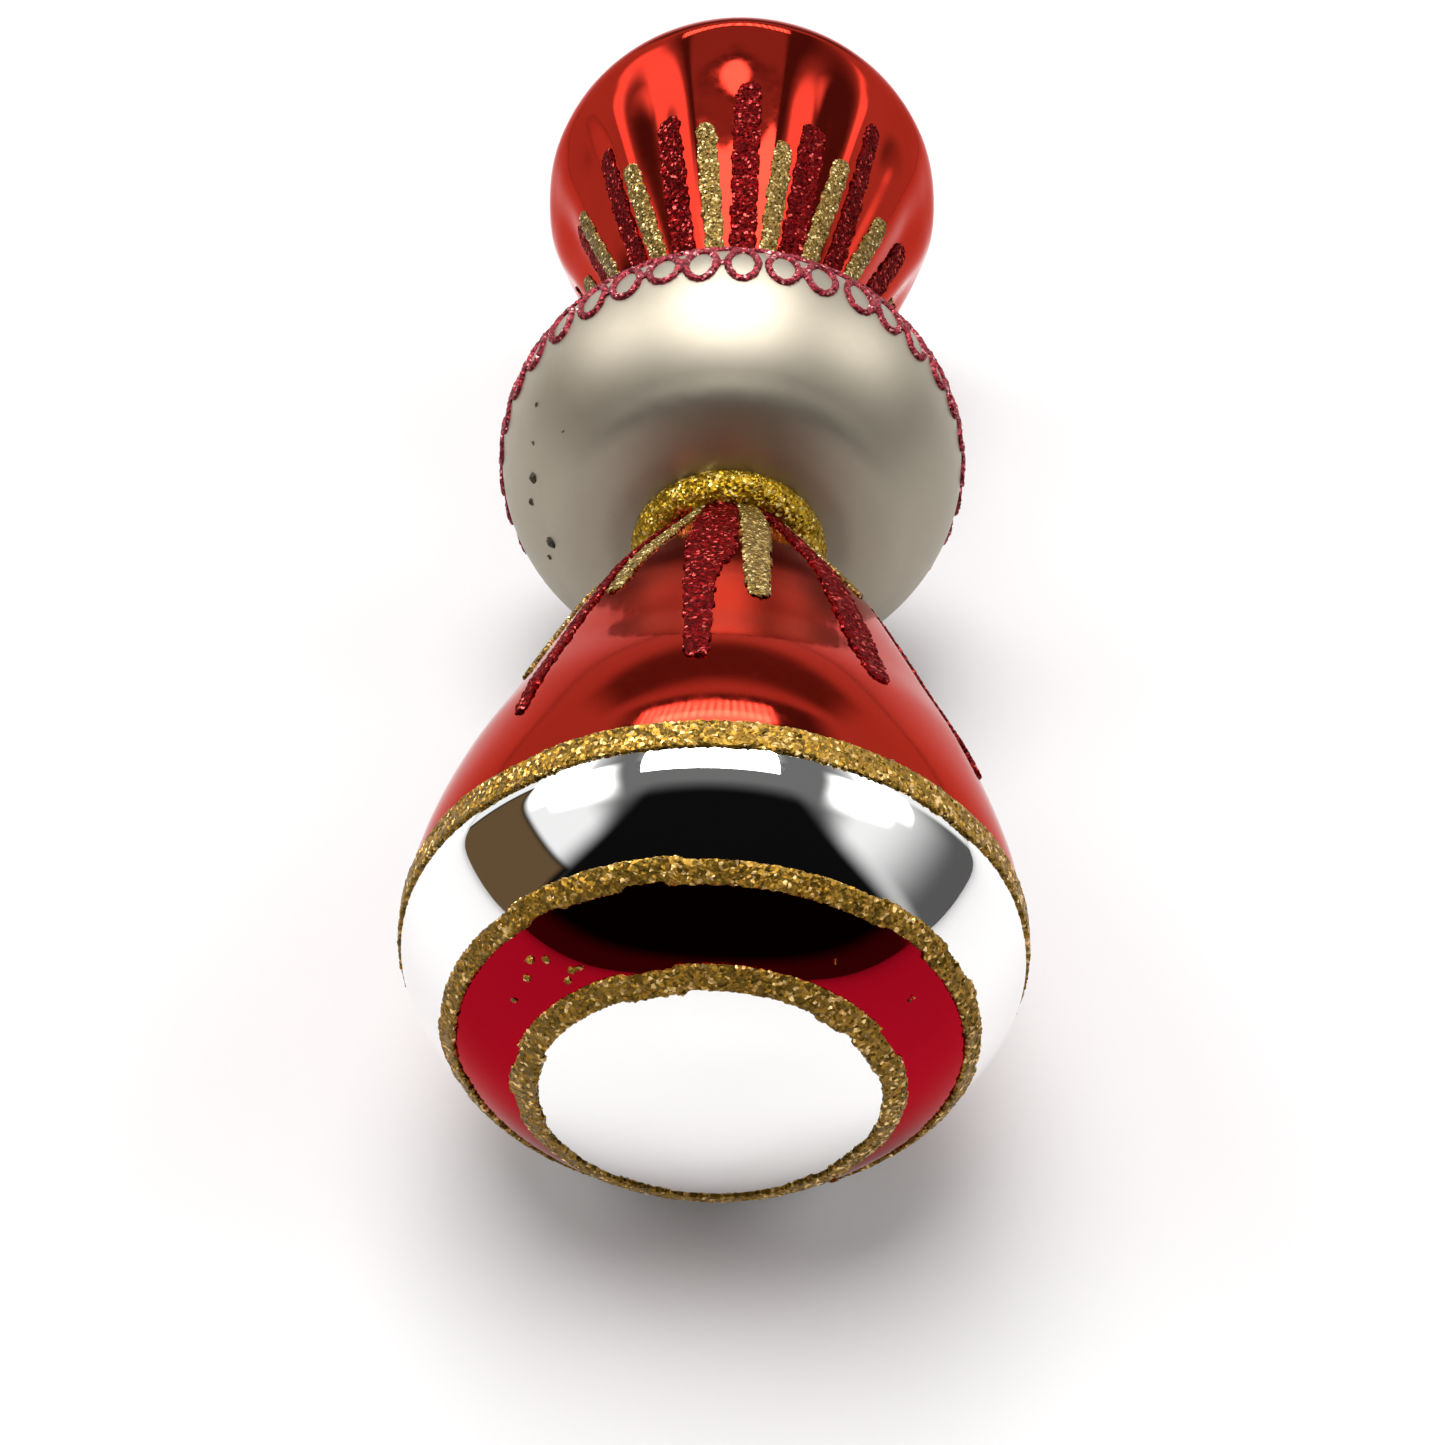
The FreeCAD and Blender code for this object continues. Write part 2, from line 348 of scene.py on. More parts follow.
def upperShape(along, turn):
    # pleats: nearly flat sides between soft ridges and grooves, deeper as the bell widens
    b = upperBell
    fade = smoothStep(*b["flutesBegin"], along) * (1 - smoothStep(*b["flutesEnd"], along))
    lean = math.cos(math.radians((turn - b["fluteTurn"]) * b["flutes"]))
    wave = math.asin(b["crease"] * lean) / math.asin(b["crease"])
    grown = b["shallow"] + (1 - b["shallow"]) * (along - b["shallowAt"]) / (b["fullAt"] - b["shallowAt"])
    return -b["fluteDepth"] * fade * grown * (1 - wave) / 2


ball = {
    "radius": 24.3, "half": 16.6, "neck": 7.2, "dimple": [(0, 10), (0.2, 13)], "shoulder": 16.5,
    "sides": 288, "rows": 120, "wall": 0.8,
}


def ballOutline():
    start = math.acos(ball["shoulder"] / ball["radius"])
    points = [(lowerJoin, ball["neck"])] + [(lowerJoin + a, r) for a, r in ball["dimple"]]
    ends = list(reversed(points))
    for i in range(13):
        turn = -start + start * i / 6
        points.append((ballAt + ball["half"] * math.sin(turn), ball["radius"] * math.cos(turn)))
    return points + [(2 * ballAt - a, r) for a, r in ends]


lowerGlass = glassShell("lowerBellGlass", lowerBell["outline"], lowerBell, lowerShape)
upperGlass = glassShell("upperBellGlass", upperBell["outline"], upperBell, upperShape)
ballGlass = glassShell("ballGlass", ballOutline(), ball, noShape)
dress(lowerGlass, "lower_bell_glass", "red_mirror_glass", silverMirror, crimsonMirror, redLacquer)
paintZones(lowerGlass, lowerZone)
dress(upperGlass, "upper_bell_glass", "red_mirror_glass", redLacquer)
dress(ballGlass, "ball_glass", "pearl_glass", pearlGlass)
print("glass done")

glitter = {"thick": 0.27, "sunk": 0.15, "grain": 0.25, "rough": 0.06}
saturatedGoldLook = {
    "stops": [(0, (0.14, 0.08, 0.004)), (0.45, (0.3, 0.17, 0.008)), (0.85, (0.5, 0.31, 0.02)), (1, (1, 0.8, 0.3))],
    "flake": 0.3, "tilt": 0.9, "roughness": (0.25, 0.5), "edge": (1, 1, 1), "metallic": 0.7,
}
ringGoldLook = {
    "stops": [(0, (0.11, 0.065, 0.01)), (0.5, (0.22, 0.125, 0.017)), (0.85, (0.4, 0.21, 0.025)), (1, (1, 0.7, 0.3))],
    "flake": 0.28, "tilt": 0.9, "roughness": (0.25, 0.5), "edge": (1, 1, 1), "metallic": 0.7,
}
saturatedGold = glitterFinish("saturated_gold_glitter", saturatedGoldLook)
ringGold = glitterFinish("ring_gold_glitter", ringGoldLook)


def grained(piece, seed):
    # remeshed to flake size, then every corner moved a little
    remesh = piece.modifiers.new("grain", "REMESH")
    remesh.mode = "VOXEL"
    remesh.voxel_size = glitter["grain"] * mm
    applyAll(piece)
    bpy.ops.object.mode_set(mode="EDIT")
    bpy.ops.mesh.select_all(action="SELECT")
    bpy.ops.mesh.quads_convert_to_tris(quad_method="BEAUTY")
    bpy.ops.transform.vertex_random(offset=glitter["rough"] * mm, uniform=1, normal=0, seed=seed)
    bpy.ops.object.mode_set(mode="OBJECT")
    bpy.ops.object.shade_flat()
    return piece


def glitterOn(name, outline, shape, span, sides, rows, keep, seed):
    # a strip of the glass surface, thickened both ways and grained
    piece = rolled(name, cutOutline(outline, span), sides, rows, shape, keep)
    solid = piece.modifiers.new("thick", "SOLIDIFY")
    solid.thickness = (glitter["thick"] + glitter["sunk"]) * mm
    solid.offset = glitter["thick"] / (glitter["thick"] + glitter["sunk"]) * 2 - 1
    return grained(piece, seed)


rings = {
    "sides": 720,
    "dome": {"span": (-16, -5), "rows": 90},
    "centre": {"band": (12.75, 14.65), "wobble": 0.1, "seed": 3},
    "middle": {"band": (19.2, 20.5), "wobble": 0.08, "seed": 7},
    "flecks": [(-48, 17.6, 0.35), (-44, 17.2, 0.25), (-52, 16.9, 0.3), (-39, 15.9, 0.32), (-42, 15.5, 0.28),
               (-36, 15.8, 0.22), (-60, 16.5, 0.22), (55, 17.2, 0.22), (30, 16.4, 0.2), (140, 16.2, 0.25)],
    "shoulder": {"band": (-1.25, 1.25), "wobble": 0.1, "seed": 5, "span": (-2.25, 2.25), "rows": 60},
}


def rippledRing(name, line, flecks=()):
    # a hand-painted line of glitter with wandering edges: its band is radii on the dome, or places
    # along the bell; a fleck is a turn, a radius and a size
    low, high = line["band"]
    onDome = "span" not in line
    area = rings["dome"] if onDome else line

    def keep(a, t, r):
        turn = np.radians(t)
        drift = line["wobble"] * (np.sin(turn * 5 + line["seed"]) + 0.7 * np.sin(turn * 13 + 2 * line["seed"]))
        measured = (r if onDome else a) + drift
        stays = (measured > low) & (measured < high)
        for at, radius, size in flecks:
            stays |= np.hypot(np.radians(t - at) * r, r - radius) < size
        return stays

    return glitterOn(name, lowerBell["outline"], noShape, area["span"], rings["sides"], area["rows"],
                     keep, line["seed"])


collars = {"major": 7.85, "minor": 2, "around": 200, "across": 36, "fromJoin": 0.9}


def collar(name, middle, seed):
    # a fat rope of glitter in the groove between a bell and the ball
    deselect()
    bpy.ops.mesh.primitive_torus_add(
        major_segments=collars["around"], minor_segments=collars["across"], major_radius=collars["major"] * mm,
        minor_radius=collars["minor"] * mm, location=spot(middle, 0, 0), rotation=(math.pi / 2, 0, 0))
    piece = nameMesh(bpy.context.object, name)
    bpy.ops.object.transform_apply(location=True, rotation=True, scale=True)
    return grained(piece, seed)


centreRing = rippledRing("centreGlitterRing", rings["centre"])
middleRing = rippledRing("middleGlitterRing", rings["middle"], rings["flecks"])
shoulderRing = rippledRing("shoulderGlitterRing", rings["shoulder"])
dress(centreRing, "centre_glitter_ring", "gold_glitter", ringGold)
dress(middleRing, "middle_glitter_ring", "gold_glitter", ringGold)
dress(shoulderRing, "shoulder_glitter_ring", "gold_glitter", ringGold)
lowerCollar = collar("lowerGlitterCollar", lowerJoin - collars["fromJoin"], 2)
dress(lowerCollar, "lower_glitter_collar", "gold_glitter", saturatedGold)
upperCollar = collar("upperGlitterCollar", upperJoin + collars["fromJoin"], 4)
dress(upperCollar, "upper_glitter_collar", "gold_glitter", saturatedGold)
print("rings and collars done")

redGlitterLook = {
    "stops": [(0, (0.03, 0.0006, 0.0008)), (0.55, (0.075, 0.001, 0.0014)), (0.9, (0.16, 0.003, 0.004)),
              (1, (0.8, 0.12, 0.1))],
    "flake": 0.28, "tilt": 0.9, "roughness": (0.25, 0.5), "edge": (1, 0.4, 0.4), "metallic": 0.7,
}
paleGoldLook = {
    "stops": [(0, (0.075, 0.045, 0.01)), (0.5, (0.155, 0.094, 0.021)), (0.85, (0.27, 0.17, 0.042)), (1, (1, 0.8, 0.4))],
    "flake": 0.26, "tilt": 0.9, "roughness": (0.25, 0.5), "edge": (1, 1, 1), "metallic": 0.7,
}
redGlitter = glitterFinish("red_glitter", redGlitterLook)
paleGold = glitterFinish("pale_gold_glitter", paleGoldLook)

# A drip is a list of (place, turn, half width) from its collar to its tip.
lowerRed = {
    "span": (6, 51.5), "seed": 21,
    "drips": [
        [(51, -8, 1.6), (47.6, -8, 1.8), (38, -7.2, 2.2), (32.5, -6.6, 2.2), (28.6, -7.9, 1.6),
         (24.7, -8.1, 1.3), (15.7, -6.7, 1.1), (10.7, -6.2, 1)],
        [(51, 32, 0.9), (45, 33, 1.2), (34, 34.5, 1.5), (24, 33, 1.6), (18, 31.8, 1.4), (13.3, 31.2, 1)],
        [(51, 60, 0.6), (40, 62, 0.9), (26, 59, 1.2), (17, 59, 1.1), (11.5, 61, 0.9)],
        [(51, 97, 0.9), (36, 95, 1.5), (22, 94, 1.3), (14, 95, 1.1)],
        [(51, 131, 0.9), (38, 132, 1.4), (20, 131, 1.2), (10, 130, 1)],
        [(51, 168, 0.9), (35, 167, 1.6), (24, 168, 1.3), (12.5, 168, 1.1)],
        [(51, 203, 0.9), (40, 205, 1.5), (25, 204, 1.3), (16, 204, 1.1)],
        [(51, 241, 0.9), (36, 240, 1.4), (20, 241, 1.3), (9, 240, 1)],
        [(51, 279, 0.9), (38, 280, 1.5), (24, 279, 1.2), (13, 279, 1.1)],
        [(51, -44, 0.5), (42, -41, 0.7), (33, -39.6, 0.85), (22.4, -41.5, 0.95), (15, -40.8, 0.9), (9, -41.1, 0.7)],
    ],
}
lowerGold = {
    "span": (20, 51.5), "seed": 22,
    "drips": [
        [(51, 14, 1.2), (41, 10.5, 1.4), (33, 8, 1.3), (26.5, 7.1, 1.1), (23.4, 7, 1)],
        [(51, 45, 0.6), (42, 47, 0.8), (35, 49, 0.8)],
        [(51, 78, 0.7), (40, 77, 1.1), (27, 76, 0.9)],
        [(51, 114, 0.7), (42, 113, 1.2), (33, 113, 1)],
        [(51, 150, 0.7), (38, 150, 1.2), (25, 149, 1)],
        [(51, 186, 0.7), (40, 185, 1.2), (30, 186, 1)],
        [(51, 222, 0.7), (41, 223, 1.1), (24, 222, 1)],
        [(51, 260, 0.7), (42, 259, 1.2), (34, 260, 1)],
        [(51, 298, 0.5), (38, 300, 0.8), (28, 301, 0.9), (22, 301, 0.8)],
        [(51, -24, 0.7), (45, -27, 0.8), (38, -30.4, 0.9), (33, -32.4, 0.85), (28, -33.6, 0.8)],
    ],
}
upperRed = {
    "span": (82, 119), "seed": 23,
    "drips": [
        [(82.8, -32, 0.9), (92, -32, 1.4), (104, -29, 1.6), (111, -28, 1.5)],
        [(82.8, 1, 0.9), (92, 0.5, 1.5), (104, 0, 1.6), (114, 0, 1.5)],
        [(82.8, 28, 0.9), (92, 27, 1.4), (104, 25, 1.6), (110.5, 24, 1.5)],
        [(82.8, 57, 0.8), (92, 54, 1.3), (104, 48.5, 1.5), (115.5, 44, 1.3)],
        [(82.8, 85, 0.9), (92, 84, 1.4), (104, 83, 1.5), (111.5, 83, 1.4)],
        [(82.8, 113, 0.9), (92, 112, 1.4), (104, 111, 1.5), (114.5, 111, 1.4)],
        [(82.8, 141, 0.9), (92, 141, 1.4), (104, 140, 1.6), (110, 140, 1.5)],
        [(82.8, 168, 0.9), (92, 168, 1.4), (104, 169, 1.5), (113, 169, 1.4)],
        [(82.8, 197, 0.9), (92, 197, 1.4), (104, 196, 1.6), (115, 196, 1.5)],
        [(82.8, 224, 0.9), (92, 224, 1.4), (104, 225, 1.5), (111, 225, 1.4)],
        [(82.8, 252, 0.9), (92, 252, 1.4), (104, 251, 1.5), (113.5, 251, 1.4)],
        [(82.8, 278, 0.9), (92, 278, 1.4), (104, 279, 1.5), (110.5, 279, 1.4)],
        [(82.8, 300, 0.8), (92, 301, 1.3), (104, 304, 1.5), (112.6, 306, 1.4)],
    ],
}
upperGold = {
    "span": (82, 114), "seed": 24, "profile": [(82.8, 0.7), (90, 1), (100, 1.2)], "tip": 1.15,
    "lines": [(-74, 109.8), (-45, 107.3), (-14.3, 108.3), (13.7, 106), (36.5, 107.5), (63, 106.6), (98, 107.4),
              (127, 106.2), (154.5, 108), (182.5, 106.8), (210.5, 107.8), (238, 106.1), (265, 107.2)],
}
upperGold["drips"] = [[(place, turn, half) for place, half in upperGold["profile"]] + [(end, turn, upperGold["tip"])]
                      for turn, end in upperGold["lines"]]
dripMesh = {"sides": 640, "rowsPerMillimetre": 4, "raggedness": 0.13}


def roundedTip(drip):
    # closes a drip's tip with a half circle
    place, turn, half = drip[-1]
    way = 1 if place > drip[0][0] else -1
    return drip + [(place + way * half * math.sin(math.radians(k)), turn, half * math.cos(math.radians(k)))
                   for k in (30, 55, 75, 89)]


def underDrips(drips):
    # true where a face lies under one of the drips
    def keep(a, t, r):
        stays = np.zeros(len(a), bool)
        for number, drip in enumerate(drips):
            drip = sorted(roundedTip(drip))
            places = [p[0] for p in drip]
            middle = np.interp(a, places, [p[1] for p in drip])
            half = np.interp(a, places, [p[2] for p in drip], left=-1, right=-1)
            away = np.radians((t - middle + 180) % 360 - 180) * r
            ragged = dripMesh["raggedness"] * np.sin(a * 2.7 + number * 1.9 + np.sign(away)) * np.sin(a * 0.9 + number)
            stays |= np.abs(away) < half * (1 + ragged)
        return stays
    return keep


def glitterDrips(name, bell, shape, facts):
    low, high = facts["span"]
    rows = int((high - low) * dripMesh["rowsPerMillimetre"])
    return glitterOn(name, bell["outline"], shape, facts["span"], dripMesh["sides"], rows,
                     underDrips(facts["drips"]), facts["seed"])


lowerRedDrips = glitterDrips("lowerRedDrips", lowerBell, lowerShape, lowerRed)
dress(lowerRedDrips, "lower_red_drips", "red_glitter", redGlitter)
lowerGoldDrips = glitterDrips("lowerGoldDrips", lowerBell, lowerShape, lowerGold)
dress(lowerGoldDrips, "lower_gold_drips", "pale_gold_glitter", paleGold)
upperRedDrips = glitterDrips("upperRedDrips", upperBell, upperShape, upperRed)
dress(upperRedDrips, "upper_red_drips", "red_glitter", redGlitter)
upperGoldDrips = glitterDrips("upperGoldDrips", upperBell, upperShape, upperGold)
dress(upperGoldDrips, "upper_gold_drips", "pale_gold_glitter", paleGold)
print("drips done")

loopRedLook = {
    "stops": [(0, (0.1, 0.009, 0.014)), (0.55, (0.22, 0.02, 0.03)), (0.9, (0.36, 0.05, 0.065)), (1, (0.9, 0.45, 0.45))],
    "flake": 0.28, "tilt": 0.9, "roughness": (0.3, 0.5), "edge": (1, 1, 1), "metallic": 0.7,
}
speckLook = {
    "stops": [(0, (0.03, 0.027, 0.018)), (1, (0.12, 0.105, 0.07))],
    "flake": 0.3, "tilt": 0.8, "roughness": (0.4, 0.6), "edge": (1, 1, 1), "metallic": 0.2,
}
loops = {
    "count": 38, "steps": 30, "middle": 1.5, "reach": 3.4, "loop": 0.6, "line": 0.4, "lift": 0.05,
    "sway": 0.6, "shift": 0.3, "sizes": (0.88, 1.1), "diceSeed": 11, "grainSeed": 5,
    "specks": [(-61, -5.7, 0.5), (-78, -8.7, 0.8), (-86, -8.9, 0.6), (-97, -10.7, 0.9), (-104, -10.2, 0.5),
               (-58, -9.4, 0.35), (-69, -7.6, 0.4)],  # turn, place from the ball's middle, radius
    "specksEnd": -4.6, "speckSunk": 0.6, "speckFlat": 0.7,  # shares of a speck's radius
}


def loopBand(name, outline):
    # one looping brush line of glitter round the ball, with a few stray specks beside it
    deselect()
    count, steps = loops["count"], loops["steps"]
    bpy.ops.mesh.primitive_circle_add(vertices=count * steps, radius=1, fill_type="NOTHING")
    piece = nameMesh(bpy.context.object, name)
    along, radius = onOutline(outline, 600)
    dice = random.Random(loops["diceSeed"])
    drift = [(dice.uniform(-loops["sway"], loops["sway"]), dice.uniform(-loops["shift"], loops["shift"]),
              dice.uniform(*loops["sizes"])) for _ in range(count + 1)]
    drift[-1] = drift[0]
    for i, corner in enumerate(piece.data.vertices):
        t = i / steps
        share = t - int(t)
        a, b = drift[int(t)], drift[int(t) + 1]
        sway, shift, size = (a[k] + (b[k] - a[k]) * smoothStep(0, 1, share) for k in range(3))
        turn = 360 / count * (t - loops["loop"] * math.sin(2 * math.pi * share)) + sway
        place = ballAt + loops["middle"] + shift - loops["reach"] * size * math.cos(2 * math.pi * share)
        corner.co = spot(place, np.interp(place, along, radius) + loops["lift"], turn)
    bpy.ops.object.convert(target="CURVE")
    piece = bpy.context.object
    piece.data.bevel_depth = loops["line"] * mm
    piece.data.bevel_resolution = 2
    bpy.ops.object.convert(target="MESH")
    piece = nameMesh(bpy.context.object, name)
    for turn, place, size in loops["specks"]:
        surface = np.interp(ballAt + place, along, radius)
        bpy.ops.mesh.primitive_ico_sphere_add(
            subdivisions=2, radius=size * mm,
            location=spot(ballAt + place, surface - size * loops["speckSunk"], turn))
        bpy.context.object.scale = (1, loops["speckFlat"], 1)
        pick(piece)
        bpy.ops.object.join()
    bpy.ops.object.transform_apply(location=True, rotation=True, scale=True)
    return grained(piece, loops["grainSeed"])


def bandZone(along, radius):
    # 1 on the specks, 0 on the loops
    return 1 if along < ballAt + loops["specksEnd"] else 0


band = loopBand("ballLoopBand", ballOutline())
dress(band, "ball_loop_band", "red_glitter", glitterFinish("loop_red_glitter", loopRedLook),
      glitterFinish("speck_tone", speckLook))
paintZones(band, bandZone)
print("loops done")

cap = {
    "outline": [(138.3, 6.9), (138.9, 6.45), (139.9, 6.05), (141, 6), (143.5, 6), (144.1, 5.75),
                (144.3, 5.2), (144.3, 3), (144.3, 0)],
    "sides": 288, "rows": 70, "sheet": 0.28,
    "crimps": 24, "crimp": 0.12, "crimpsBegin": (139.2, 140), "crimpsEnd": (143, 143.8),
    "scallops": 12, "scallop": 0.7, "lobe": 0.8, "lip": 138.3, "skirt": 139.2,
    "holeAt": 1.9, "hole": 0.75, "drill": 3, "top": 144, "smoothAngle": 35,
}
capLook = {
    "colours": [(0.62, 0.44, 0.16), (0.83, 0.62, 0.27)], "roughness": (0.18, 0.34),
    "mottle": 260, "wear": 1500, "wearDetail": 5,
}
wireLook = {
    "colours": [(0.5, 0.48, 0.45), (0.68, 0.66, 0.62)], "roughness": (0.2, 0.38),
    "mottle": 400, "wear": 1800, "wearDetail": 3,
}


def capShape(along, turn):
    wall = smoothStep(*cap["crimpsBegin"], along) * (1 - smoothStep(*cap["crimpsEnd"], along))
    return cap["crimp"] * wall * (math.cos(math.radians(turn * cap["crimps"])) - 1)


def stampedCap(name):
    # thin stamped metal: crimped wall, flared scalloped skirt, two holes for the wire
    piece = rolled(name, cap["outline"], cap["sides"], cap["rows"], capShape)
    for corner in piece.data.vertices:
        a = (corner.co.y - shoulderAt) / mm
        if a < cap["skirt"]:
            turn = math.atan2(corner.co.x, corner.co.z - axisHeight)
            lobe = abs(math.sin(turn * cap["scallops"] / 2)) ** cap["lobe"]
            corner.co.y += cap["scallop"] * mm * (1 - lobe) * (cap["skirt"] - a) / (cap["skirt"] - cap["lip"])
    solid = piece.modifiers.new("sheet", "SOLIDIFY")
    solid.thickness = cap["sheet"] * mm
    solid.offset = -1
    applyAll(piece)
    for side in (-1, 1):
        deselect()
        bpy.ops.mesh.primitive_cylinder_add(
            vertices=32, radius=cap["hole"] * mm, depth=cap["drill"] * mm, rotation=(math.pi / 2, 0, 0),
            location=spot(cap["top"], 0, 0) + Vector((side * cap["holeAt"] * mm, 0, 0)))
        drill = bpy.context.object
        hole = piece.modifiers.new("hole", "BOOLEAN")
        hole.object = drill
        applyAll(piece)
        bpy.data.objects.remove(drill)
    deselect()
    pick(piece)
    bpy.ops.object.shade_smooth_by_angle(angle=math.radians(cap["smoothAngle"]))
    return piece


dress(stampedCap("stampedCap"), "cap", "cap_metal", metalFinish("cap_metal", capLook), body="cap")
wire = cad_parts["hanger"]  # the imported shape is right, so it only gets its finish
wire.data.materials.clear()
wire.data.materials.append(metalFinish("hanger_wire", wireLook))
print("cap and wire done")

table = {"side": 6, "tone": (0.6, 0.59, 0.59, 1), "glow": (1, 0.96, 0.96, 1), "glowStrength": 0.03, "roughness": 0.9}


def floorFinish():
    finish, nodes, links, shader = newFinish("studio_floor")
    plainSockets(shader, Base_Color=table["tone"], Roughness=table["roughness"],
                 Emission_Color=table["glow"], Emission_Strength=table["glowStrength"])
    return finish


deselect()
bpy.ops.mesh.primitive_plane_add(size=table["side"], location=(0, 0, 0))
floor = nameMesh(bpy.context.object, "studioFloor")
floor.data.materials.append(floorFinish())

# The room that the mirror glass reflects: pale walls, then cards laid over them in this order.
# x, y and z are the direction looked in, u and v are x and y on a ceiling one unit up, and across
# is how far u is to either side. pastRoom is how far x is outside the dark side, which narrows
# upwards, and ribs swings from -1 to 1 between the tubes. A band is (low, high, softness), and an
# edge fades in from one value to the other.
studio = {
    "walls": 0.95, "backdrop": 1, "ribs": 110, "roomHalf": 0.88, "roomTaper": 0.6,
    "cards": [
        {"name": "back wall", "tone": 0.25,
         "bands": {"z": (0.12, 0.36, 0.05), "x": (-0.42, 0.42, 0.08)}, "edges": [("y", 0.3, 0.6)]},
        {"name": "high windows", "tone": 3,
         "bands": {"across": (1, 2, 0.12), "v": (-0.1, 1.2, 0.15)}, "edges": [("z", 0.3, 0.4)]},
        {"name": "ceiling", "tone": 0.16,
         "bands": {"u": (-0.85, 0.85, 0.22), "v": (-0.8, 1.9, 0.15)}, "edges": [("z", 0.25, 0.4)]},
        {"name": "side cards", "tone": 5,
         "bands": {"across": (0.75, 1.5, 0.15), "v": (-0.3, 0.4, 0.15)}, "edges": [("z", 0.25, 0.4)]},
        {"name": "right card", "tone": 0.1,
         "bands": {"y": (-0.45, 0.42, 0.06)}, "edges": [("x", 0.6, 0.8), ("z", -0.1, -0.06), ("z", 0.62, 0.12)]},
        {"name": "dark rim of the left card", "tone": 0.004,
         "bands": {"y": (-0.54, 0.4, 0.02), "z": (-0.1, 0.42, 0.02)}, "edges": [("x", -0.65, -0.7)]},
        {"name": "dark side", "tone": 0.004, "lowTone": (0.085, 0.07, 0.07), "lowEdge": ("z", 0.2, 0.08),
         "bands": {}, "edges": [("y", -0.2, -0.36), ("pastRoom", 0.04, -0.05), ("z", -0.06, -0.03)]},
        {"name": "brown left card", "tone": (0.13, 0.08, 0.038),
         "bands": {"y": (-0.5, 0.36, 0.02), "z": (-0.06, 0.4, 0.02)}, "edges": [("x", -0.7, -0.75)]},
        {"name": "lamp's spill", "tone": 0.6,
         "bands": {"u": (-0.48, 0.32, 0.08), "v": (0.4, 1.05, 0.06)}, "edges": [("z", 0.25, 0.4)]},
        {"name": "tubes", "tone": 11,
         "bands": {"u": (-0.66, 0.36, 0.03), "v": (1.15, 1.6, 0.04)}, "edges": [("ribs", -1.2, 0.6), ("z", 0.25, 0.4)]},
    ],
}


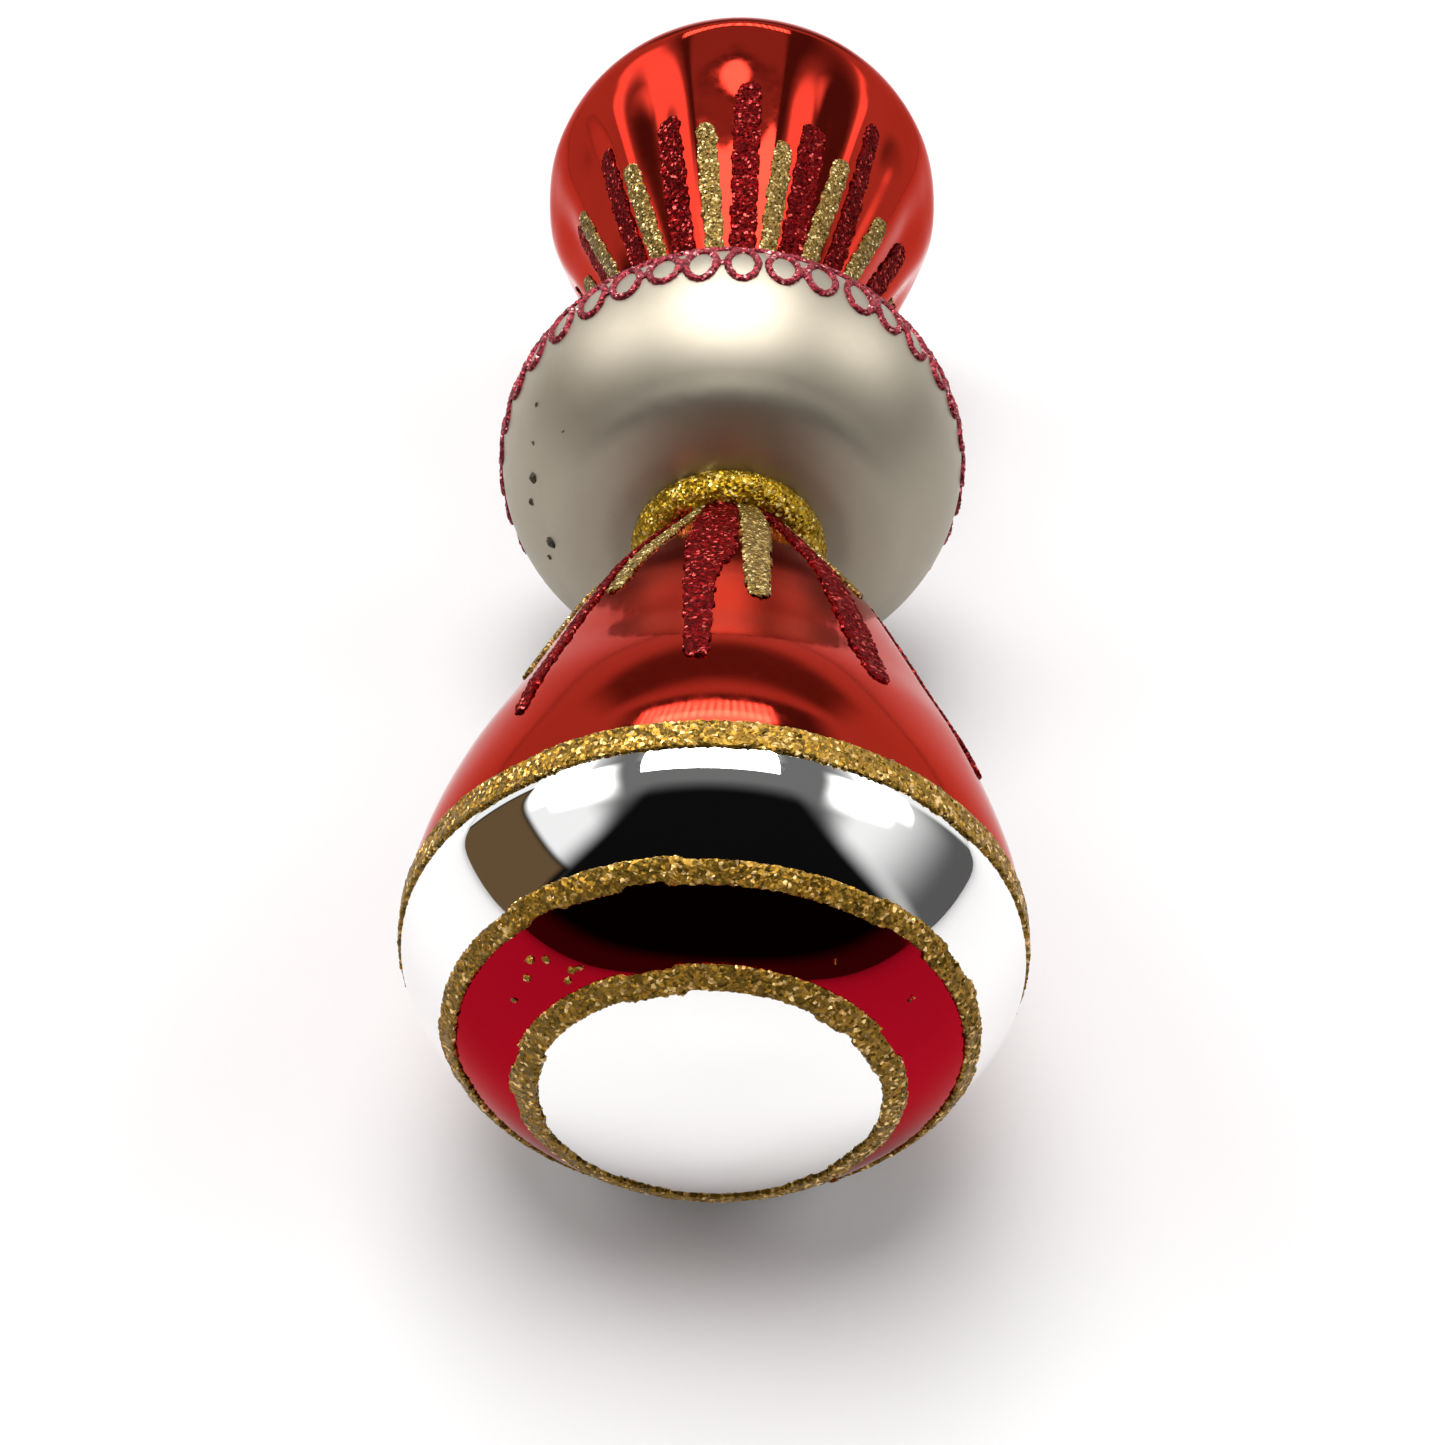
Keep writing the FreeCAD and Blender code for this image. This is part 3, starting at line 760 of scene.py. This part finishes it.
def studioLight():
    world = bpy.data.worlds.new("studio")
    bpy.context.scene.world = world
    world.use_nodes = True
    nodes, links = world.node_tree.nodes, world.node_tree.links
    nodes.clear()

    def arithmetic(kind, a, b=0):
        node = nodes.new("ShaderNodeMath")
        node.operation = kind
        for socket, value in zip(node.inputs, (a, b)):
            if isinstance(value, (int, float)):
                socket.default_value = value
            else:
                links.new(value, socket)
        return node.outputs["Value"]

    def fade(value, low, high):
        node = nodes.new("ShaderNodeMapRange")
        node.interpolation_type = "SMOOTHSTEP"
        node.inputs["From Min"].default_value = low
        node.inputs["From Max"].default_value = high
        links.new(value, node.inputs["Value"])
        return node.outputs["Result"]

    def layer(under, over, mask):
        node = nodes.new("ShaderNodeMix")
        node.data_type = "RGBA"
        links.new(mask, node.inputs["Factor"])
        for socket, value in ((node.inputs[6], under), (node.inputs[7], over)):
            if isinstance(value, tuple):
                socket.default_value = (*value, 1)
            elif isinstance(value, (int, float)):
                socket.default_value = (value, value, value, 1)
            else:
                links.new(value, socket)
        return node.outputs[2]

    def cardMask(card):
        masks = []
        for place, (low, high, soft) in card["bands"].items():
            masks.append(fade(at[place], low - soft, low + soft))
            masks.append(fade(at[place], high + soft, high - soft))
        masks += [fade(at[place], low, high) for place, low, high in card["edges"]]
        whole = masks[0]
        for mask in masks[1:]:
            whole = arithmetic("MULTIPLY", whole, mask)
        return whole

    where = nodes.new("ShaderNodeTexCoord")
    split = nodes.new("ShaderNodeSeparateXYZ")
    links.new(where.outputs["Generated"], split.inputs["Vector"])
    x, y, z = (split.outputs[k] for k in "XYZ")
    u, v = arithmetic("DIVIDE", x, z), arithmetic("DIVIDE", y, z)
    taper = arithmetic("MULTIPLY", arithmetic("MULTIPLY", z, z), studio["roomTaper"])
    roomHalf = arithmetic("SUBTRACT", studio["roomHalf"], taper)
    at = {
        "x": x, "y": y, "z": z, "u": u, "v": v, "across": arithmetic("ABSOLUTE", u),
        "pastRoom": arithmetic("SUBTRACT", arithmetic("ABSOLUTE", x), roomHalf),
        "ribs": arithmetic("SINE", arithmetic("MULTIPLY", u, studio["ribs"])),
    }
    light = studio["walls"]
    for card in studio["cards"]:
        tone = card["tone"]
        if "lowTone" in card:
            place, low, high = card["lowEdge"]
            tone = layer(tone, card["lowTone"], fade(at[place], low, high))
        light = layer(light, tone, cardMask(card))
    seen = nodes.new("ShaderNodeLightPath")
    light = layer(light, studio["backdrop"], seen.outputs["Is Camera Ray"])
    back = nodes.new("ShaderNodeBackground")
    out = nodes.new("ShaderNodeOutputWorld")
    links.new(light, back.inputs["Color"])
    links.new(back.outputs["Background"], out.inputs["Surface"])


lamps = {
    "panel": 6.5, "panelX": (-64, 42), "panelY": (-4, 156), "panelHeight": 143,  # close panel that shows in the glass
    "softbox": 27, "softboxAt": (-0.15, 0.2, 1.5), "softboxSide": 1,  # far softbox that lights the floor, in metres
}


def areaLamp(name, place, width, length, power):
    deselect()
    bpy.ops.object.light_add(type="AREA", location=place)
    lamp = bpy.context.object
    lamp.name = name
    lamp.data.shape = "RECTANGLE"
    lamp.data.size, lamp.data.size_y = width, length
    lamp.data.energy = power
    lamp.visible_camera = False
    return lamp


def studioLamps():
    (west, east), (near, far) = lamps["panelX"], lamps["panelY"]
    width, length = (east - west) * mm, (far - near) * mm
    middle = ((west + east) / 2 * mm, shoulderAt + (near + far) / 2 * mm, axisHeight + lamps["panelHeight"] * mm)
    panel = areaLamp("closePanel", middle, width, length, lamps["panel"] * math.pi * width * length)
    panel.visible_diffuse = False
    softbox = areaLamp("farSoftbox", lamps["softboxAt"], lamps["softboxSide"], lamps["softboxSide"], lamps["softbox"])
    softbox.rotation_euler = Vector(lamps["softboxAt"]).to_track_quat("Z", "Y").to_euler()
    softbox.visible_glossy = False


studioLight()
studioLamps()
print("studio done")

view = {
    "x": -1.72, "along": -91.58, "height": 111.27, "heading": -0.0146, "dip": 0.751, "roll": 0.0587,
    "lens": 44.84, "sensor": 36, "nearest": 5,
}
deselect()
bpy.ops.object.camera_add(location=(view["x"] * mm, shoulderAt + view["along"] * mm, axisHeight + view["height"] * mm))
camera = bpy.context.object
aim = (Matrix.Rotation(view["heading"], 3, "Z") @ Matrix.Rotation(math.pi / 2 - view["dip"], 3, "X")
       @ Matrix.Rotation(view["roll"], 3, "Z"))
camera.rotation_euler = aim.to_euler()
camera.data.lens = view["lens"]
camera.data.sensor_width = view["sensor"]
camera.data.clip_start = view["nearest"] * mm
bpy.context.scene.camera = camera
bpy.context.scene.view_settings.view_transform = "Standard"
